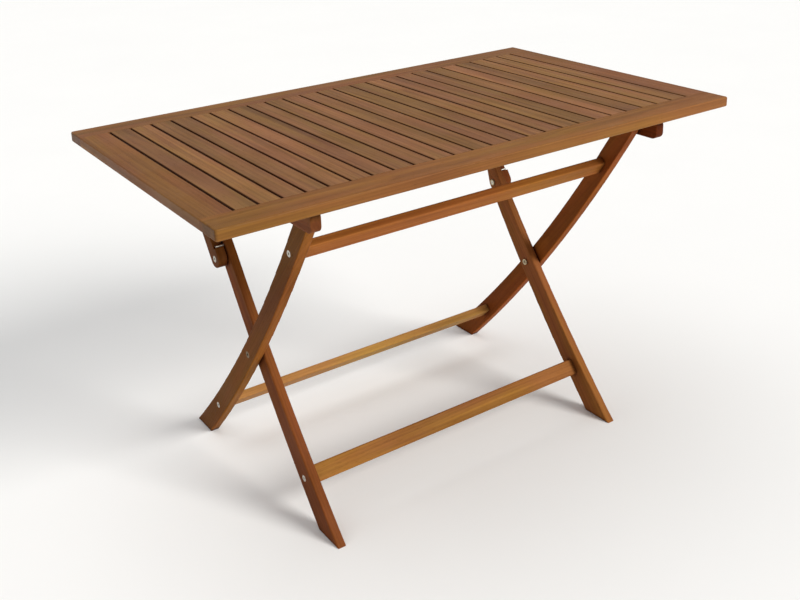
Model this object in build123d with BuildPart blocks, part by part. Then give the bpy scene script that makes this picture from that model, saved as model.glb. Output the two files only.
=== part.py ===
from build123d import *
import math
import os

# A folding table with a slatted hardwood top on two pairs of crossed legs.
# Millimetres. +X runs along the table, -Y is the front, +Z is up.
# The origin is on the floor, under the middle of the top.

# Driving dimensions
TABLE_LENGTH = 1200
TABLE_WIDTH = 700
TABLE_HEIGHT = 750
TOP_THICKNESS = 21
RAIL_WIDTH = 60
SLAT_COUNT = 24
SLAT_GAP = 5
CORNER_RADIUS = 5
EASED_EDGE = 3

# Slat tongues and rail tenons
TONGUE_THICKNESS = 8
TONGUE_LENGTH = 10
SHOULDER_GAP = 0.8
JOINT_PLAY = 0.1
TENON_WIDTH = 36
GROOVE_STOP = 18

# Layers at each end of the table: inner legs, then outer legs and arms, then cleats
INNER_THICKNESS = 19
OUTER_THICKNESS = 21
CLEAT_THICKNESS = 21
LAYER_GAP = 2
CLEAT_GAP = 3.5
OUTER_LEG_FACE = 398

# Pivots, as (y, z) seen from the end of the table
LEG_PIVOT = Vector(-268, 707)
CROSS_PIVOT = Vector(17, 307)
ELBOW_PIVOT = Vector(139, 479)
ARM_PIVOT = Vector(293, 707)

# Cleats under the top
CLEAT_HEIGHT = 40
CLEAT_LENGTH = 664
CLEAT_END_RADIUS = 13
CLEAT_SCREW_INSET = 14

# Outer legs: two edges that bow the same way. The lean in degrees makes the round top
# tangent to them. Each edge is (offset at the pivot, offset at mid-length, y on the floor).
OUTER_FOOT_MIDDLE = 296
OUTER_TOP_LEAN = -6.8
OUTER_TOP_RADIUS = 20.5
OUTER_BACK_EDGE = (OUTER_TOP_RADIUS, -6, 330)
OUTER_FRONT_EDGE = (-OUTER_TOP_RADIUS, -48.5, 259)

# Inner legs: two edges that bow the same way and widen towards the foot
INNER_FOOT_FRONT = -272
INNER_FOOT_BACK = -199
CROSS_TO_FRONT_EDGE = 26.5
CROSS_TO_BACK_EDGE = 20.5
ELBOW_TO_FRONT_EDGE = 26
ELBOW_TO_BACK_EDGE = 16
INNER_LEG_TIP = 58
TIP_FRONT_RADIUS = 10
TIP_BACK_RADIUS = 6

# Support arms, with the recess in which the stop pin sits
ARM_WIDTH = 39
PIN_ALONG = 22
PIN_ACROSS = 14.8
PIN_RADIUS = 2.5
STOP_PIN_SEAT = 4
STOP_PIN_END = 394
RECESS_START = 18.5
RECESS_END = 50
RECESS_FLOOR = 11.7

# Stretchers, set with their broad face along the leg
STRETCHER_BREADTH = 36
STRETCHER_THICKNESS = 18
TOP_STRETCHER = (Vector(-198, 605), -56)
BACK_STRETCHER = (Vector(199, 100), -47)
FRONT_STRETCHER = (Vector(-150, 93), 51)

# Fasteners
BOLT_RADIUS = 4
BOLT_HEAD_RADIUS = 7
BOLT_HEAD_HEIGHT = 3
SOCKET_RADIUS = 3
SOCKET_DEPTH = 1.8
NUT_HEIGHT = 3
SCREW_RADIUS = 2.5
SCREW_HEAD_RADIUS = 6.5
SCREW_HEAD_HEIGHT = 3
SCREW_LENGTH = 50
WASHER_RADIUS = 9
RUNNING_PLAY = 0.05
FACE_GAP = 0.3

UNDERSIDE = TABLE_HEIGHT - TOP_THICKNESS
TONGUE_BOTTOM = UNDERSIDE + (TOP_THICKNESS - TONGUE_THICKNESS) / 2
INNER_LENGTH = TABLE_LENGTH - 2 * RAIL_WIDTH
INNER_WIDTH = TABLE_WIDTH - 2 * RAIL_WIDTH
SLAT_WIDTH = (INNER_LENGTH - (SLAT_COUNT + 1) * SLAT_GAP) / SLAT_COUNT
OUTER_LEG_BACK = OUTER_LEG_FACE - OUTER_THICKNESS
INNER_LEG_FACE = OUTER_LEG_BACK - LAYER_GAP
INNER_LEG_BACK = INNER_LEG_FACE - INNER_THICKNESS
CLEAT_INNER = OUTER_LEG_FACE + CLEAT_GAP
CLEAT_OUTER = CLEAT_INNER + CLEAT_THICKNESS
CLEAT_MIDDLE = (CLEAT_INNER + CLEAT_OUTER) / 2
CLEAT_SCREW_Y = CLEAT_LENGTH / 2 - CLEAT_SCREW_INSET

SIDES = {"left": -1, "right": 1}

os.makedirs("parts", exist_ok=True)


def save(part, name):
    """Label one finished piece and write it to its own file."""
    part.label = name
    export_step(part, f"parts/{name}.step")


def left_of(direction):
    """The unit vector a quarter turn to the left of a (y, z) direction."""
    return Vector(-direction.Y, direction.X)


def layer_plane(side, distance):
    """The plane square to X at this distance from the middle of the table, facing outwards."""
    if side > 0:
        return Plane(origin=(distance, 0, 0), x_dir=(0, 1, 0), z_dir=(1, 0, 0))
    return Plane(origin=(-distance, 0, 0), x_dir=(0, -1, 0), z_dir=(-1, 0, 0))


def on_layer(side, point):
    """A (y, z) point in the coordinates of that side's layer planes."""
    return (side * point.X, point.Y)


def ease(builder, radius):
    """Round the long outline edges on the two broad faces of a layer board."""
    faces = builder.faces().filter_by(Axis.X).sort_by(SortBy.AREA)[-2:]
    outlines = [edge for face in faces for edge in face.outer_wire().edges()]
    fillet(outlines, radius)


leg_run = Vector(OUTER_FOOT_MIDDLE, 0) - LEG_PIVOT
leg_middle = LEG_PIVOT + leg_run * 0.5
leg_left = left_of(leg_run.normalized())
leg_top_down = leg_run.normalized().rotate(Axis.Z, OUTER_TOP_LEAN)
elbow_up = (ELBOW_PIVOT - CROSS_PIVOT).normalized()
elbow_left = left_of(elbow_up)
arm_up = (ARM_PIVOT - ELBOW_PIVOT).normalized()
arm_left = left_of(arm_up)
stop_pin = ELBOW_PIVOT + arm_up * PIN_ALONG + arm_left * PIN_ACROSS


# --- Table top ------------------------------------------------------------------------


def long_rail(row):
    """A rail of the full length, rounded at its outer corners and grooved for slats and end rails."""
    middle_y = row * (TABLE_WIDTH - RAIL_WIDTH) / 2
    groove_depth = TONGUE_LENGTH + 1
    with BuildPart() as rail:
        with BuildSketch(Plane.XY.offset(UNDERSIDE)):
            with Locations((0, middle_y)):
                Rectangle(TABLE_LENGTH, RAIL_WIDTH)
        extrude(amount=TOP_THICKNESS)
        corners = rail.edges().filter_by(Axis.Z).sort_by(Axis.Y)
        fillet(corners[-2:] if row > 0 else corners[:2], CORNER_RADIUS)
        inner_face = rail.faces().filter_by(Axis.Y).sort_by(Axis.Y)[0 if row > 0 else -1]
        outline = rail.faces().filter_by(Axis.Z).edges() - inner_face.edges()
        fillet(outline, EASED_EDGE)
        with BuildSketch(Plane.XY.offset(TONGUE_BOTTOM - JOINT_PLAY)):
            with Locations((0, row * (INNER_WIDTH + groove_depth) / 2)):
                Rectangle(TABLE_LENGTH - 2 * GROOVE_STOP, groove_depth)
        extrude(amount=TONGUE_THICKNESS + 2 * JOINT_PLAY, mode=Mode.SUBTRACT)
        with BuildSketch(Plane.XY.offset(UNDERSIDE)):
            with Locations((-CLEAT_MIDDLE, row * CLEAT_SCREW_Y), (CLEAT_MIDDLE, row * CLEAT_SCREW_Y)):
                Circle(SCREW_RADIUS + RUNNING_PLAY)
        extrude(amount=TOP_THICKNESS / 2 + 3, mode=Mode.SUBTRACT)
    return rail.part


def end_rail(side):
    """A rail between the long rails, with a tenon at each end."""
    middle_x = side * (TABLE_LENGTH - RAIL_WIDTH) / 2
    with BuildPart() as rail:
        with BuildSketch(Plane.XY.offset(UNDERSIDE)):
            with Locations((middle_x, 0)):
                Rectangle(RAIL_WIDTH, INNER_WIDTH - 2 * JOINT_PLAY)
        extrude(amount=TOP_THICKNESS)
        lengthwise = rail.edges().filter_by(Axis.Y).sort_by(Axis.X)
        fillet(lengthwise[-2:] if side > 0 else lengthwise[:2], EASED_EDGE)
        fillet(lengthwise[:2] if side > 0 else lengthwise[-2:], EASED_EDGE / 2)
        with BuildSketch(Plane.XY.offset(TONGUE_BOTTOM)):
            with Locations((side * (TABLE_LENGTH / 2 - RAIL_WIDTH + TENON_WIDTH / 2 + 3), 0)):
                Rectangle(TENON_WIDTH, INNER_WIDTH + 2 * TONGUE_LENGTH)
        extrude(amount=TONGUE_THICKNESS)
    return rail.part


def slat(number):
    """One slat, with a tongue at each end and softly rounded long edges."""
    x = -INNER_LENGTH / 2 + SLAT_GAP + SLAT_WIDTH / 2 + number * (SLAT_WIDTH + SLAT_GAP)
    with BuildPart() as board:
        with BuildSketch(Plane.XY.offset(UNDERSIDE)):
            with Locations((x, 0)):
                Rectangle(SLAT_WIDTH, INNER_WIDTH - 2 * SHOULDER_GAP)
        extrude(amount=TOP_THICKNESS)
        fillet(board.edges().filter_by(Axis.Y), EASED_EDGE / 2)
        with BuildSketch(Plane.XY.offset(TONGUE_BOTTOM)):
            with Locations((x, 0)):
                Rectangle(SLAT_WIDTH - 4, INNER_WIDTH + 2 * TONGUE_LENGTH)
        extrude(amount=TONGUE_THICKNESS)
    return board.part


def cleat(side):
    """The bar across the underside that carries the leg and arm pivots."""
    with BuildPart() as bar:
        with BuildSketch(layer_plane(side, CLEAT_INNER)) as outline:
            with Locations((0, UNDERSIDE - CLEAT_HEIGHT / 2)):
                Rectangle(CLEAT_LENGTH, CLEAT_HEIGHT)
            fillet(outline.vertices().group_by(Axis.Z)[0], CLEAT_END_RADIUS)
            with Locations(on_layer(side, LEG_PIVOT), on_layer(side, ARM_PIVOT)):
                Circle(BOLT_RADIUS + RUNNING_PLAY, mode=Mode.SUBTRACT)
        extrude(amount=CLEAT_THICKNESS)
        lower_edges = bar.edges().filter_by(Axis.Y).group_by(Axis.Z)[0]
        fillet(lower_edges, EASED_EDGE / 2)
        for end in (-1, 1):
            with BuildSketch(Plane.XY.offset(UNDERSIDE)):
                with Locations((side * CLEAT_MIDDLE, end * CLEAT_SCREW_Y)):
                    Circle(SCREW_RADIUS + RUNNING_PLAY)
            extrude(amount=-CLEAT_HEIGHT, mode=Mode.SUBTRACT)
            with BuildSketch(Plane.XY.offset(UNDERSIDE - CLEAT_HEIGHT)):
                with Locations((side * CLEAT_MIDDLE, end * CLEAT_SCREW_Y)):
                    Circle(SCREW_HEAD_RADIUS + JOINT_PLAY)
            extrude(amount=CLEAT_HEIGHT / 3, mode=Mode.SUBTRACT)
    return bar.part


# --- Legs, arms and stretchers ----------------------------------------------------------


def leg_edge(side, offsets):
    """Three points of one edge of an outer leg, from the pivot to the floor."""
    at_pivot, at_middle, floor_y = offsets
    top = on_layer(side, LEG_PIVOT + left_of(leg_top_down) * at_pivot)
    middle = on_layer(side, leg_middle + leg_left * at_middle)
    return top, middle, on_layer(side, Vector(floor_y, 0))


def outer_leg(side):
    """A bowed leg, round at its pivot and flat on the floor, drilled for its bolts and screws."""
    back_edge = leg_edge(side, OUTER_BACK_EDGE)
    front_edge = leg_edge(side, OUTER_FRONT_EDGE)
    crown = on_layer(side, LEG_PIVOT - leg_top_down * OUTER_TOP_RADIUS)
    screws = [on_layer(side, centre) for centre, lean in (TOP_STRETCHER, BACK_STRETCHER)]
    with BuildPart() as leg:
        with BuildSketch(layer_plane(side, OUTER_LEG_BACK)):
            with BuildLine():
                ThreePointArc(*back_edge)
                Line(back_edge[-1], front_edge[-1])
                ThreePointArc(*reversed(front_edge))
                ThreePointArc(front_edge[0], crown, back_edge[0])
            make_face()
        extrude(amount=OUTER_THICKNESS)
        ease(leg, EASED_EDGE * 0.7)
        with BuildSketch(layer_plane(side, OUTER_LEG_BACK)):
            with Locations(on_layer(side, LEG_PIVOT), on_layer(side, CROSS_PIVOT)):
                Circle(BOLT_RADIUS + RUNNING_PLAY)
            with Locations(*screws):
                Circle(SCREW_RADIUS + RUNNING_PLAY)
        extrude(amount=OUTER_THICKNESS, mode=Mode.SUBTRACT)
        with BuildSketch(layer_plane(side, OUTER_LEG_FACE)):
            with Locations(on_layer(side, CROSS_PIVOT)):
                Circle(BOLT_HEAD_RADIUS + FACE_GAP)
            with Locations(*screws):
                Circle(SCREW_HEAD_RADIUS + JOINT_PLAY)
        extrude(amount=-BOLT_HEAD_HEIGHT, mode=Mode.SUBTRACT)
    return leg.part


def inner_leg_point(centre, along, across):
    """A point beside a pivot of the inner leg, measured up the leg and towards its front edge."""
    return centre + elbow_up * along + elbow_left * across


def inner_leg(side):
    """A leg that widens to its foot, with a tip cut back to clear the folded top."""
    front_foot = Vector(INNER_FOOT_FRONT, 0)
    back_foot = Vector(INNER_FOOT_BACK, 0)
    front_cross = inner_leg_point(CROSS_PIVOT, 0, CROSS_TO_FRONT_EDGE)
    back_cross = inner_leg_point(CROSS_PIVOT, 0, -CROSS_TO_BACK_EDGE)
    front_elbow = inner_leg_point(ELBOW_PIVOT, 0, ELBOW_TO_FRONT_EDGE)
    back_elbow = inner_leg_point(ELBOW_PIVOT, 2, -ELBOW_TO_BACK_EDGE)
    front_tip = inner_leg_point(ELBOW_PIVOT, INNER_LEG_TIP, ELBOW_TO_FRONT_EDGE)
    back_tip = inner_leg_point(ELBOW_PIVOT, INNER_LEG_TIP - 2, 4)
    tips = [Vector(*on_layer(side, tip)) for tip in (front_tip, back_tip)]
    with BuildPart() as leg:
        with BuildSketch(layer_plane(side, INNER_LEG_BACK)) as outline:
            with BuildLine():
                ThreePointArc(*[on_layer(side, p) for p in (front_foot, front_cross, front_elbow)])
                Polyline(*[on_layer(side, p) for p in (front_elbow, front_tip, back_tip, back_elbow)])
                ThreePointArc(*[on_layer(side, p) for p in (back_elbow, back_cross, back_foot)])
                Line(on_layer(side, back_foot), on_layer(side, front_foot))
            make_face()
            for tip, radius in zip(tips, (TIP_FRONT_RADIUS, TIP_BACK_RADIUS)):
                nearest = outline.vertices().sort_by_distance(tip)[0]
                fillet(nearest, radius)
        extrude(amount=INNER_THICKNESS)
        ease(leg, EASED_EDGE * 0.7)
        with BuildSketch(layer_plane(side, INNER_LEG_BACK)):
            with Locations(on_layer(side, CROSS_PIVOT), on_layer(side, ELBOW_PIVOT)):
                Circle(BOLT_RADIUS + RUNNING_PLAY)
            with Locations(on_layer(side, FRONT_STRETCHER[0])):
                Circle(SCREW_RADIUS + RUNNING_PLAY)
        extrude(amount=INNER_THICKNESS, mode=Mode.SUBTRACT)
        with BuildSketch(layer_plane(side, INNER_LEG_FACE)):
            with Locations(on_layer(side, FRONT_STRETCHER[0])):
                Circle(SCREW_HEAD_RADIUS + JOINT_PLAY)
        extrude(amount=-BOLT_HEAD_HEIGHT, mode=Mode.SUBTRACT)
        with BuildSketch(layer_plane(side, INNER_LEG_FACE)):
            with Locations(on_layer(side, stop_pin)):
                Circle(PIN_RADIUS + RUNNING_PLAY)
        extrude(amount=STOP_PIN_SEAT - FACE_GAP - INNER_THICKNESS, mode=Mode.SUBTRACT)
    return leg.part


def support_arm(side):
    """The short arm from cleat to inner leg, with a recess where the stop pin rests."""
    arm_length = (ARM_PIVOT - ELBOW_PIVOT).length
    with BuildPart() as arm:
        start = layer_plane(side, OUTER_LEG_BACK)
        along = Vector(0, arm_up.X, arm_up.Y)
        elbow = Vector(start.origin.X, ELBOW_PIVOT.X, ELBOW_PIVOT.Y)
        plane = Plane(origin=elbow, x_dir=along, z_dir=(side, 0, 0))
        with BuildSketch(plane) as outline:
            with Locations((arm_length / 2, 0)):
                SlotCenterToCenter(arm_length, ARM_WIDTH)
            recess_middle = (RECESS_START + RECESS_END) / 2
            with Locations((recess_middle, side * ARM_WIDTH / 2)):
                Rectangle(
                    RECESS_END - RECESS_START, 2 * (ARM_WIDTH / 2 - RECESS_FLOOR), mode=Mode.SUBTRACT
                )
        extrude(amount=OUTER_THICKNESS)
        ease(arm, EASED_EDGE / 2)
        with BuildSketch(plane):
            with Locations((0, 0), (arm_length, 0)):
                Circle(BOLT_RADIUS + RUNNING_PLAY)
        extrude(amount=OUTER_THICKNESS, mode=Mode.SUBTRACT)
        with BuildSketch(plane.offset(OUTER_THICKNESS)):
            Circle(BOLT_HEAD_RADIUS + FACE_GAP)
        extrude(amount=-BOLT_HEAD_HEIGHT, mode=Mode.SUBTRACT)
    return arm.part


def stretcher(place, half_length):
    """A board along X between two legs, its broad face leaning with them, drilled at each end."""
    centre, lean = place
    broad = (0, math.cos(math.radians(lean)), math.sin(math.radians(lean)))
    section = Plane(origin=(-half_length, centre.X, centre.Y), x_dir=broad, z_dir=(1, 0, 0))
    with BuildPart() as board:
        with BuildSketch(section):
            Rectangle(STRETCHER_BREADTH, STRETCHER_THICKNESS)
        extrude(amount=2 * half_length)
        fillet(board.edges().filter_by(Axis.X), EASED_EDGE)
        with BuildSketch(section):
            Circle(SCREW_RADIUS + RUNNING_PLAY)
        extrude(amount=SCREW_LENGTH, mode=Mode.SUBTRACT)
        with BuildSketch(section.offset(2 * half_length)):
            Circle(SCREW_RADIUS + RUNNING_PLAY)
        extrude(amount=-SCREW_LENGTH, mode=Mode.SUBTRACT)
    return board.part


# --- Fasteners ----------------------------------------------------------------------------


def headed(sides, places, shank_radius, shank_end, head_radius, head_height, head_face):
    """Round-headed bolts or screws along X, each with a hexagon socket in its outer face."""
    with BuildPart() as group:
        for side in sides:
            spots = [on_layer(side, place) for place in places]
            with BuildSketch(layer_plane(side, shank_end)):
                with Locations(*spots):
                    Circle(shank_radius)
            extrude(amount=head_face - shank_end)
            with BuildSketch(layer_plane(side, head_face)):
                with Locations(*spots):
                    Circle(head_radius)
            extrude(amount=-head_height)
            with BuildSketch(layer_plane(side, head_face)):
                with Locations(*spots):
                    RegularPolygon(SOCKET_RADIUS, 6)
            extrude(amount=-SOCKET_DEPTH, mode=Mode.SUBTRACT)
    return group.part


def rings(place, start, radius, thickness, bore):
    """A pair of round nuts or washers, one at each end of the table."""
    with BuildPart() as pair:
        for side in SIDES.values():
            with BuildSketch(layer_plane(side, start)):
                with Locations(on_layer(side, place)):
                    Circle(radius)
                    Circle(bore, mode=Mode.SUBTRACT)
            extrude(amount=thickness)
    return pair.part


def nuts(place, start):
    """A pair of round nuts that grip their bolts."""
    return rings(place, start, BOLT_HEAD_RADIUS, NUT_HEIGHT, BOLT_RADIUS + RUNNING_PLAY)


def washers(place, gap, end):
    """A pair of spacer washers that nearly fill the gap between two layers, up to this distance."""
    thickness = gap - FACE_GAP
    return rings(place, end - thickness, WASHER_RADIUS, thickness, BOLT_RADIUS + RUNNING_PLAY)


def pins(place, radius, start, end):
    """A pair of plain round pins along X, one at each end of the table."""
    with BuildPart() as pair:
        for side in SIDES.values():
            with BuildSketch(layer_plane(side, start)):
                with Locations(on_layer(side, place)):
                    Circle(radius)
            extrude(amount=end - start)
    return pair.part


def cleat_screws():
    """Upright screws from the cleats into the long rails, their heads sunk in the cleats."""
    head_base = UNDERSIDE - CLEAT_HEIGHT * 2 / 3 - SCREW_HEAD_HEIGHT
    shank_length = UNDERSIDE + TOP_THICKNESS / 2 - head_base
    with BuildPart() as group:
        with BuildSketch(Plane.XY.offset(head_base)):
            with GridLocations(2 * CLEAT_MIDDLE, 2 * CLEAT_SCREW_Y, 2, 2):
                Circle(SCREW_RADIUS)
        extrude(amount=shank_length)
        with BuildSketch(Plane.XY.offset(head_base)):
            with GridLocations(2 * CLEAT_MIDDLE, 2 * CLEAT_SCREW_Y, 2, 2):
                Circle(SCREW_HEAD_RADIUS)
        extrude(amount=SCREW_HEAD_HEIGHT)
        with BuildSketch(Plane.XY.offset(head_base)):
            with GridLocations(2 * CLEAT_MIDDLE, 2 * CLEAT_SCREW_Y, 2, 2):
                RegularPolygon(SOCKET_RADIUS, 6)
        extrude(amount=SOCKET_DEPTH, mode=Mode.SUBTRACT)
    return group.part


# --- The whole table ------------------------------------------------------------------------

save(long_rail(-1), "long_rail_front")
save(long_rail(1), "long_rail_back")
for number in range(SLAT_COUNT):
    save(slat(number), f"slat_{number + 1:02d}")

for end, side in SIDES.items():
    save(end_rail(side), f"end_rail_{end}")
    save(cleat(side), f"cleat_{end}")
    save(outer_leg(side), f"outer_leg_{end}")
    save(inner_leg(side), f"inner_leg_{end}")
    save(support_arm(side), f"support_arm_{end}")

save(stretcher(TOP_STRETCHER, OUTER_LEG_BACK), "top_stretcher")
save(stretcher(BACK_STRETCHER, OUTER_LEG_BACK), "back_stretcher")
save(stretcher(FRONT_STRETCHER, INNER_LEG_BACK), "front_stretcher")

both = SIDES.values()
sunk_head = BOLT_HEAD_HEIGHT - FACE_GAP
hinge_nut_base = OUTER_LEG_BACK - FACE_GAP - NUT_HEIGHT
hinge_head_face = CLEAT_OUTER + BOLT_HEAD_HEIGHT
hinge_bolt = (BOLT_RADIUS, hinge_nut_base, BOLT_HEAD_RADIUS, BOLT_HEAD_HEIGHT, hinge_head_face)
save(headed(both, [LEG_PIVOT], *hinge_bolt), "leg_hinge_bolts")
save(headed(both, [ARM_PIVOT], *hinge_bolt), "arm_hinge_bolts")
save(nuts(LEG_PIVOT, hinge_nut_base), "leg_hinge_nuts")
save(nuts(ARM_PIVOT, hinge_nut_base), "arm_hinge_nuts")
save(washers(LEG_PIVOT, CLEAT_GAP, CLEAT_INNER), "leg_hinge_washers")
save(washers(ARM_PIVOT, CLEAT_GAP, CLEAT_INNER), "arm_hinge_washers")
save(cleat_screws(), "cleat_screws")

inner_nut_base = INNER_LEG_BACK - FACE_GAP - NUT_HEIGHT
cross_bolt = (BOLT_RADIUS, inner_nut_base, BOLT_HEAD_RADIUS, sunk_head, OUTER_LEG_FACE)
save(headed(both, [CROSS_PIVOT], *cross_bolt), "cross_bolts")
save(nuts(CROSS_PIVOT, inner_nut_base), "cross_nuts")
save(washers(CROSS_PIVOT, LAYER_GAP, OUTER_LEG_BACK), "cross_washers")

# At the elbow the shank is parted in the gap between arm and inner leg, so that each half
# stays with its own piece through the fold.
elbow_bolt = (BOLT_RADIUS, OUTER_LEG_BACK, BOLT_HEAD_RADIUS, sunk_head, OUTER_LEG_FACE)
for end, side in SIDES.items():
    save(headed([side], [ELBOW_PIVOT], *elbow_bolt), f"elbow_bolt_{end}")
save(pins(ELBOW_PIVOT, BOLT_RADIUS, inner_nut_base, OUTER_LEG_BACK - FACE_GAP), "elbow_bolt_ends")
save(nuts(ELBOW_PIVOT, inner_nut_base), "elbow_nuts")
save(washers(ELBOW_PIVOT, LAYER_GAP, OUTER_LEG_BACK - FACE_GAP), "elbow_washers")
save(pins(stop_pin, PIN_RADIUS, INNER_LEG_BACK + STOP_PIN_SEAT, STOP_PIN_END), "stop_pins")

screw_head = (SCREW_HEAD_RADIUS, SCREW_HEAD_HEIGHT - FACE_GAP)
outer_screws = (SCREW_RADIUS, OUTER_LEG_FACE - SCREW_LENGTH, *screw_head, OUTER_LEG_FACE)
inner_screws = (SCREW_RADIUS, INNER_LEG_FACE - SCREW_LENGTH, *screw_head, INNER_LEG_FACE)
save(headed(both, [TOP_STRETCHER[0], BACK_STRETCHER[0]], *outer_screws), "outer_leg_screws")
save(headed(both, [FRONT_STRETCHER[0]], *inner_screws), "inner_leg_screws")
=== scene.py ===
import math
import random

import bpy
from mathutils import Matrix, Vector


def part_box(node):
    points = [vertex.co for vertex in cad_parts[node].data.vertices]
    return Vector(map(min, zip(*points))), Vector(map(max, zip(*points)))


# A folding hardwood table on a pale floor in soft studio light.
# All lengths are metres in the row frame.

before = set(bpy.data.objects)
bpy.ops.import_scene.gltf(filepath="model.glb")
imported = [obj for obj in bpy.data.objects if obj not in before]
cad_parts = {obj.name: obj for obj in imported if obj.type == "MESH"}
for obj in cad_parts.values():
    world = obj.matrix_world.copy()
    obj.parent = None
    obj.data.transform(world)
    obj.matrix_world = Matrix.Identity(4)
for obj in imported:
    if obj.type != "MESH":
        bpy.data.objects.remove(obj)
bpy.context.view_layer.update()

# ---------------------------------------------------------------- node helpers


def linear(red, green, blue):
    """An 8-bit screen colour as linear red, green, blue and alpha."""

    def one(value):
        value /= 255
        return value / 12.92 if value <= 0.04045 else ((value + 0.055) / 1.055) ** 2.4

    return (one(red), one(green), one(blue), 1.0)


class Tree:
    """Short ways of adding and joining shader nodes in one tree."""

    def __init__(self, tree):
        self.tree = tree

    def feed(self, socket, value):
        if isinstance(value, bpy.types.NodeSocket):
            self.tree.links.new(value, socket)
        else:
            socket.default_value = value

    def math(self, operation, a, b=0.0, clamp=False):
        node = self.tree.nodes.new("ShaderNodeMath")
        node.operation = operation
        node.use_clamp = clamp
        self.feed(node.inputs[0], a)
        self.feed(node.inputs[1], b)
        return node.outputs[0]

    def vector(self, operation, a, b):
        node = self.tree.nodes.new("ShaderNodeVectorMath")
        node.operation = operation
        self.feed(node.inputs[0], a)
        self.feed(node.inputs[1], b)
        return node.outputs["Value" if operation in ("DOT_PRODUCT", "LENGTH") else "Vector"]

    def combine(self, x, y, z):
        node = self.tree.nodes.new("ShaderNodeCombineXYZ")
        for socket, value in zip(node.inputs, (x, y, z)):
            self.feed(socket, value)
        return node.outputs[0]

    def noise(self, where, scale, detail=3.0, roughness=0.55, distortion=0.0):
        node = self.tree.nodes.new("ShaderNodeTexNoise")
        self.feed(node.inputs["Vector"], where)
        self.feed(node.inputs["Scale"], scale)
        self.feed(node.inputs["Detail"], detail)
        self.feed(node.inputs["Roughness"], roughness)
        self.feed(node.inputs["Distortion"], distortion)
        return node.outputs["Fac"]

    def ramp(self, value, low, high, start=0.0, end=1.0):
        node = self.tree.nodes.new("ShaderNodeMapRange")
        node.clamp = True
        self.feed(node.inputs["Value"], value)
        for name, number in (("From Min", low), ("From Max", high), ("To Min", start), ("To Max", end)):
            self.feed(node.inputs[name], number)
        return node.outputs["Result"]

    def mix(self, factor, a, b, blend="MIX"):
        node = self.tree.nodes.new("ShaderNodeMix")
        node.data_type = "RGBA"
        node.blend_type = blend
        self.feed(node.inputs[0], factor)
        self.feed(node.inputs[6], a)
        self.feed(node.inputs[7], b)
        return node.outputs[2]

    def bump(self, height, strength, distance):
        node = self.tree.nodes.new("ShaderNodeBump")
        self.feed(node.inputs["Strength"], strength)
        self.feed(node.inputs["Distance"], distance)
        self.feed(node.inputs["Height"], height)
        return node.outputs[0]

    def edges(self, radius):
        """1 on the object's outer edges and 0 on its flat faces."""
        bevel = self.tree.nodes.new("ShaderNodeBevel")
        bevel.samples = 4
        bevel.inputs["Radius"].default_value = radius
        geometry = self.tree.nodes.new("ShaderNodeNewGeometry")
        flat = self.vector("DOT_PRODUCT", bevel.outputs[0], geometry.outputs["Normal"])
        return self.ramp(flat, 0.995, 0.86)

    def shelter(self, distance):
        """1 where a face is closed in by others within this distance and 0 in the open."""
        occlusion = self.tree.nodes.new("ShaderNodeAmbientOcclusion")
        occlusion.samples = 8
        occlusion.inputs["Distance"].default_value = distance
        return self.ramp(occlusion.outputs["AO"], 0.85, 0.35)


# ---------------------------------------------------------------- timber

# Painted shade: the colour that joints and gaps are darkened towards.
CREVICE_SHADE = linear(56, 12, 4)
BLACK = (0.0, 0.0, 0.0, 1.0)
ROSY = (1.02, 0.97, 1.03, 1.0)
GOLDEN = (0.97, 1.09, 0.78, 1.0)
# Width of the paler edges: rubbed wear and painted highlight.
WORN_AND_HIGHLIT_EDGE = 0.0025
# How far the painted shade in joints and gaps reaches.
CREVICE_SHADE_REACH = 0.014
OILED_RAIL = 0.16
OILED_STRETCHER = 0.06
OILED_LEG = 0.04


def shade(colour, factor):
    """A colour made darker or paler, and never past white."""
    return tuple(min(1.0, factor * part) for part in colour[:3]) + (1,)


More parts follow.
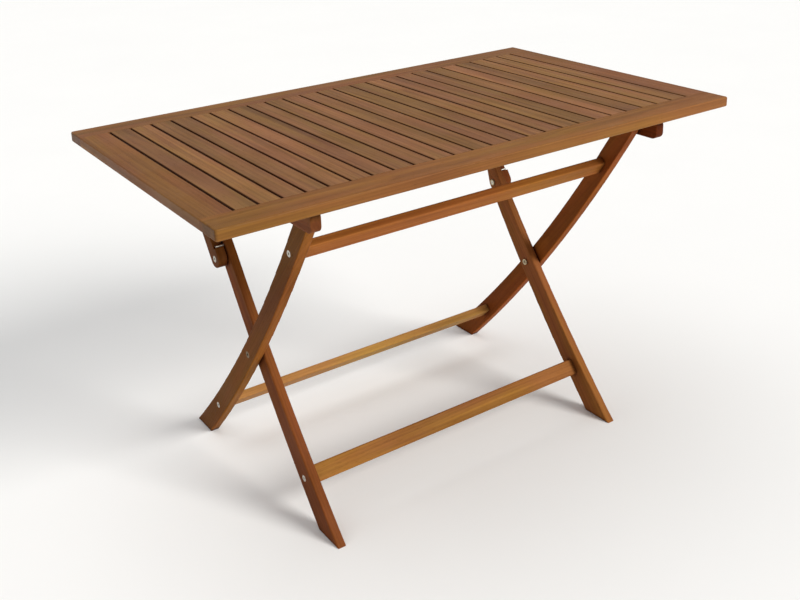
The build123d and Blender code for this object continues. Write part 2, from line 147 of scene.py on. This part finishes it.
def timber(name, centre, along, seed, pale, dark, kept_under_painted_shade=1.0, oil=OILED_RAIL):
    """Oiled hardwood with growth rings about an off-centre pith, streaks, fibres and pores, with painted
    shade in joints and gaps and on faces towards the table's ends, and paler edges.
    """
    rng = random.Random(seed)
    material = bpy.data.materials.new(name)
    material.use_nodes = True
    t = Tree(material.node_tree)
    shader = t.tree.nodes["Principled BSDF"]
    coordinates = t.tree.nodes.new("ShaderNodeTexCoord")

    along = Vector(along).normalized()
    across = along.cross(Vector((0, 0, 1)) if abs(along.z) < 0.9 else Vector((1, 0, 0))).normalized()
    through = along.cross(across)
    place = t.vector("SUBTRACT", coordinates.outputs["Object"], tuple(centre))
    length = t.math("ADD", t.vector("DOT_PRODUCT", place, tuple(along)), rng.uniform(5, 50))
    side = t.vector("DOT_PRODUCT", place, tuple(across))
    depth = t.vector("DOT_PRODUCT", place, tuple(through))

    def grain(lengthwise, sideways, depthwise):
        """A place on the board, drawn out along its grain."""
        scales = ((length, lengthwise), (side, sideways), (depth, depthwise))
        return t.combine(*(t.math("MULTIPLY", distance, scale) for distance, scale in scales))

    # The tree the board was sawn from wanders along its length.
    slow = grain(1.4, 9.0, 9.0)
    wander = t.math("SUBTRACT", t.noise(slow, 1.0, 2.0), 0.5)
    second = t.math("SUBTRACT", t.noise(t.vector("ADD", slow, (7.3, 2.1, 5.7)), 1.0, 2.0), 0.5)
    pith = rng.uniform(0.05, 0.13)
    turn = rng.uniform(0, math.tau)
    ring_x = t.math("ADD", t.math("ADD", side, pith * math.cos(turn)), t.math("MULTIPLY", wander, 0.035))
    ring_y = t.math("ADD", t.math("ADD", depth, pith * math.sin(turn)), t.math("MULTIPLY", second, 0.035))
    radius = t.vector("LENGTH", t.combine(ring_x, ring_y, 0.0), (0, 0, 0))
    phase = t.math("FRACT", t.math("MULTIPLY", radius, rng.uniform(110, 190)))
    rings = t.math("MULTIPLY", t.ramp(phase, 0.0, 0.8), t.ramp(phase, 1.0, 0.88))

    # Broad streaks, fine fibres and open pores run with the grain.
    streak = t.noise(grain(1.6, 75.0, 75.0), 1.0, 4.0, 0.6, 0.3)
    patch = t.noise(grain(3.2, 14.0, 1.0), 1.0, 2.0)
    fibre = t.noise(grain(14.0, 900.0, 900.0), 1.0, 3.0, 0.65)
    pores = t.ramp(t.noise(grain(55.0, 1500.0, 1500.0), 1.0, 1.0), 0.64, 0.74)

    tone = t.math("MULTIPLY", t.ramp(streak, 0.32, 0.68), 0.5)
    tone = t.math("ADD", tone, t.math("MULTIPLY", t.ramp(patch, 0.34, 0.66), 0.3))
    tone = t.math("ADD", tone, t.math("MULTIPLY", rings, 0.2))
    tone = t.math("ADD", tone, t.math("MULTIPLY", fibre, 0.18), clamp=True)
    colour = t.mix(tone, dark, pale)
    golden = t.ramp(t.noise(t.vector("ADD", slow, (3.1, 8.2, 1.9)), 2.0, 3.0), 0.4, 0.62)
    colour = t.mix(0.9, colour, t.mix(golden, ROSY, GOLDEN), "MULTIPLY")
    colour = t.mix(t.math("MULTIPLY", pores, 0.45), colour, shade(dark, 0.42))

    # Painted shade, mostly: faces towards the ends of the table are darkened to stand for the shade that
    # falls on them.
    facing = t.math("ABSOLUTE", t.vector("DOT_PRODUCT", coordinates.outputs["Normal"], (1.0, 0.0, 0.0)))
    painted_end_shade = t.math("MULTIPLY", t.ramp(facing, 0.6, 0.9), 1.0 - kept_under_painted_shade)
    colour = t.mix(painted_end_shade, colour, BLACK)

    # End grain drinks more oil and shows darker. Edges are painted paler in broken patches: partly rubbed
    # wear, partly painted highlight on the eased edges.
    end = t.math("ABSOLUTE", t.vector("DOT_PRODUCT", coordinates.outputs["Normal"], tuple(along)))
    end = t.ramp(end, 0.7, 0.95)
    colour = t.mix(t.math("MULTIPLY", end, 0.35), colour, dark, "MULTIPLY")
    broken = t.ramp(t.noise(place, 38.0, 4.0, 0.7), 0.35, 0.65)
    wear_and_highlight = t.math("MULTIPLY", t.math("MULTIPLY", t.edges(WORN_AND_HIGHLIT_EDGE), broken), 0.4)
    colour = t.mix(wear_and_highlight, colour, shade(pale, 1.35))
    # Painted shade: joints, gaps and other closed-in places are darkened towards a deep red-brown.
    colour = t.mix(t.math("MULTIPLY", t.shelter(CREVICE_SHADE_REACH), 0.9), colour, CREVICE_SHADE)
    t.feed(shader.inputs["Base Color"], colour)

    gloss = t.ramp(t.noise(place, 9.0, 4.0, 0.6), 0.3, 0.7, 0.44, 0.6)
    gloss = t.math("ADD", gloss, t.math("MULTIPLY", pores, 0.2))
    gloss = t.math("SUBTRACT", gloss, t.math("MULTIPLY", wear_and_highlight, 0.15))
    t.feed(shader.inputs["Roughness"], gloss)
    height = t.math("SUBTRACT", t.math("MULTIPLY", fibre, 0.4), pores)
    height = t.math("ADD", height, t.math("MULTIPLY", rings, 0.5))
    t.feed(shader.inputs["Normal"], t.bump(height, 0.35, 0.0004))
    shader.inputs["IOR"].default_value = 1.46
    shader.inputs["Specular IOR Level"].default_value = oil
    return material


WORN_EDGE = 0.0006


def steel(name, seed, tint, rough, metal=1.0):
    """Plated steel with turning marks, dull spots and brighter edges."""
    material = bpy.data.materials.new(name)
    material.use_nodes = True
    t = Tree(material.node_tree)
    shader = t.tree.nodes["Principled BSDF"]
    coordinates = t.tree.nodes.new("ShaderNodeTexCoord")
    place = t.vector("ADD", coordinates.outputs["Object"], (seed * 0.7, seed * 0.3, 0.0))
    spots = t.ramp(t.noise(place, 260.0, 4.0, 0.7), 0.35, 0.7)
    marks = t.noise(t.vector("MULTIPLY", place, (2500, 300, 300)), 1.0, 2.0)
    colour = t.mix(spots, tint, shade(tint, 0.62))
    colour = t.mix(t.math("MULTIPLY", t.edges(WORN_EDGE), 0.6), colour, shade(tint, 1.2))
    t.feed(shader.inputs["Base Color"], colour)
    t.feed(shader.inputs["Roughness"], t.ramp(spots, 0.0, 1.0, rough, rough + 0.2))
    t.feed(shader.inputs["Normal"], t.bump(marks, 0.2, 0.00005))
    shader.inputs["Metallic"].default_value = metal
    return material


def paint(node, material):
    """Gives a CAD node one material on all its faces."""
    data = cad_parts[node].data
    data.materials.clear()
    data.materials.append(material)
    for face in data.polygons:
        face.material_index = 0


def middle(node):
    """The middle of a CAD node's box."""
    low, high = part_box(node)
    return (Vector(low) + Vector(high)) / 2


ALONG_TABLE = (1, 0, 0)
ACROSS_TABLE = (0, 1, 0)

# The slats come from different boards, so each has its own strength of colour.
SLATS = 24
SLAT_STRENGTHS = (1.0, 1.17)
SLAT_PALE = (133, 91, 55)
SLAT_DARK = (84, 50, 30)

for number in range(1, SLATS + 1):
    node = f"slat_{number:02d}"
    strength = random.Random(number).uniform(*SLAT_STRENGTHS)
    pale = linear(*(strength * c for c in SLAT_PALE))
    dark = linear(*(strength * c for c in SLAT_DARK))
    paint(node, timber(f"timber_{node}", middle(node), ACROSS_TABLE, number, pale, dark))

# Each board: the direction of its grain, its pale colour and its dark colour.
RAILS = {
    "long_rail_front": (ALONG_TABLE, (145, 95, 46), (98, 57, 25)),
    "long_rail_back": (ALONG_TABLE, (136, 88, 50), (94, 57, 31)),
    "end_rail_left": (ACROSS_TABLE, (138, 89, 49), (96, 56, 29)),
    "end_rail_right": (ACROSS_TABLE, (138, 90, 52), (96, 57, 32)),
    "cleat_left": (ACROSS_TABLE, (140, 84, 44), (96, 53, 26)),
    # Painted shade: the right cleat's colours are darker and redder than the left cleat's, for the deep
    # shade it sits in.
    "cleat_right": (ACROSS_TABLE, (116, 50, 14), (74, 29, 8)),
    "top_stretcher": (ALONG_TABLE, (170, 106, 50), (118, 64, 27)),
    "back_stretcher": (ALONG_TABLE, (184, 134, 74), (130, 88, 45)),
    "front_stretcher": (ALONG_TABLE, (157, 103, 49), (106, 61, 28)),
}
for seed, (node, (along, pale, dark)) in enumerate(RAILS.items(), start=60):
    pale, dark = linear(*pale), linear(*dark)
    oil = OILED_RAIL if "rail" in node else OILED_STRETCHER
    paint(node, timber(f"timber_{node}", middle(node), along, seed, pale, dark, oil=oil))

# The same for each leg and arm, and last the share of colour kept by its faces towards the table's ends
# under the painted shade.
OUTER_GRAIN = (0, 0.64, -0.77)
INNER_GRAIN = (0, 0.6, 0.8)
ARM_GRAIN = (0, 0.56, 0.83)
LEGS = {
    "outer_leg_left": (OUTER_GRAIN, (152, 93, 41), (99, 55, 22), 0.64),
    "outer_leg_right": (OUTER_GRAIN, (158, 86, 34), (106, 50, 17), 0.72),
    "inner_leg_left": (INNER_GRAIN, (131, 73, 34), (86, 43, 18), 0.92),
    "inner_leg_right": (INNER_GRAIN, (152, 92, 49), (107, 59, 31), 0.95),
    "support_arm_left": (ARM_GRAIN, (122, 70, 34), (82, 43, 20), 0.84),
    "support_arm_right": (ARM_GRAIN, (134, 74, 32), (90, 45, 19), 0.84),
}
for seed, (node, (along, pale, dark, kept_under_painted_shade)) in enumerate(LEGS.items(), start=80):
    pale, dark = linear(*pale), linear(*dark)
    paint(node, timber(f"timber_{node}", middle(node), along, seed, pale, dark, kept_under_painted_shade, OILED_LEG))

bright_zinc = steel("bright_zinc", 2, (0.72, 0.69, 0.62, 1.0), 0.26, 0.85)
zinc = steel("zinc_plated_steel", 3, (0.66, 0.62, 0.54, 1.0), 0.3)
yellow_zinc = steel("yellow_zinc", 7, (0.62, 0.52, 0.34, 1.0), 0.32)
dull_steel = steel("dull_steel", 5, (0.3, 0.23, 0.15, 1.0), 0.45)
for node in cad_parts:
    if node in ("stop_pins", "outer_leg_screws", "inner_leg_screws"):
        paint(node, bright_zinc)
    elif "hinge_bolt" in node or "elbow_bolt_" in node:
        paint(node, zinc)
    elif "nut" in node or "washer" in node:
        paint(node, yellow_zinc)
    elif "bolt" in node or "screw" in node:
        paint(node, dull_steel)

# ---------------------------------------------------------------- floor, light and camera

FLOOR_REACH = 40.0
PLASTER_DARK = (0.86, 0.86, 0.855, 1)
PLASTER_PALE = (0.89, 0.89, 0.885, 1)

floor_mesh = bpy.data.meshes.new("floor")
corners = [(x * FLOOR_REACH, y * FLOOR_REACH, 0) for x, y in ((-1, -1), (1, -1), (1, 1), (-1, 1))]
floor_mesh.from_pydata(corners, [], [(0, 1, 2, 3)])
floor = bpy.data.objects.new("floor", floor_mesh)
bpy.context.scene.collection.objects.link(floor)
plaster = bpy.data.materials.new("pale_floor")
plaster.use_nodes = True
t = Tree(plaster.node_tree)
shader = t.tree.nodes["Principled BSDF"]
where = t.tree.nodes.new("ShaderNodeTexCoord").outputs["Object"]
t.feed(shader.inputs["Base Color"], t.mix(t.noise(where, 1.5, 3.0), PLASTER_DARK, PLASTER_PALE))
t.feed(shader.inputs["Roughness"], t.ramp(t.noise(where, 12.0, 3.0), 0.0, 1.0, 0.75, 0.95))
shader.inputs["Specular IOR Level"].default_value = 0.15
floor_mesh.materials.append(plaster)


def soft_sun(name, place, spread, strength, colour):
    """A wide distant lamp shining from this direction onto the middle of the floor."""
    lamp = bpy.data.lights.new(name, "SUN")
    lamp.angle = math.radians(spread)
    lamp.energy = strength
    lamp.color = colour
    holder = bpy.data.objects.new(name, lamp)
    holder.location = place
    holder.rotation_mode = "QUATERNION"
    holder.rotation_quaternion = (-Vector(place)).to_track_quat("-Z", "Y")
    bpy.context.scene.collection.objects.link(holder)


soft_sun("key", (1.9, -3.4, 2.4), 26, 2.7, (1.0, 0.985, 0.95))
soft_sun("overhead", (-0.8, 1.2, 4.0), 60, 0.8, (1.0, 1.0, 1.0))

WORLD_STRENGTH = 0.46

world = bpy.data.worlds.new("studio")
world.use_nodes = True
world.node_tree.nodes["Background"].inputs["Color"].default_value = (1, 1, 1, 1)
world.node_tree.nodes["Background"].inputs["Strength"].default_value = WORLD_STRENGTH
bpy.context.scene.world = world
bpy.context.scene.view_settings.view_transform = "Standard"
bpy.context.scene.view_settings.exposure = 0.0

# The camera has the photograph's viewing angle, field of view and framing.
AZIMUTH, ELEVATION, ROLL = (math.radians(angle) for angle in (-33.08, 18.82, -2.28))
CAMERA_PLACE = (-1.18749, -1.72668, 1.33571)
SENSOR_WIDTH = 36
FOCAL_LENGTH = 46.4508
CAMERA_SHIFT = (0.0230875, -0.15935)

back = Vector(
    (
        math.sin(AZIMUTH) * math.cos(ELEVATION),
        -math.cos(AZIMUTH) * math.cos(ELEVATION),
        math.sin(ELEVATION),
    )
)
level = Vector((math.cos(AZIMUTH), math.sin(AZIMUTH), 0))
upright = back.cross(level)
right = math.cos(ROLL) * level + math.sin(ROLL) * upright
up = math.cos(ROLL) * upright - math.sin(ROLL) * level
lens = bpy.data.cameras.new("camera")
lens.sensor_width = SENSOR_WIDTH
lens.lens = FOCAL_LENGTH
lens.shift_x, lens.shift_y = CAMERA_SHIFT
lens.clip_start = 0.05
lens.clip_end = 200
camera = bpy.data.objects.new("camera", lens)
turned = Matrix((right, up, back)).transposed().to_4x4()
camera.matrix_world = Matrix.Translation(CAMERA_PLACE) @ turned
bpy.context.scene.collection.objects.link(camera)
bpy.context.scene.camera = camera
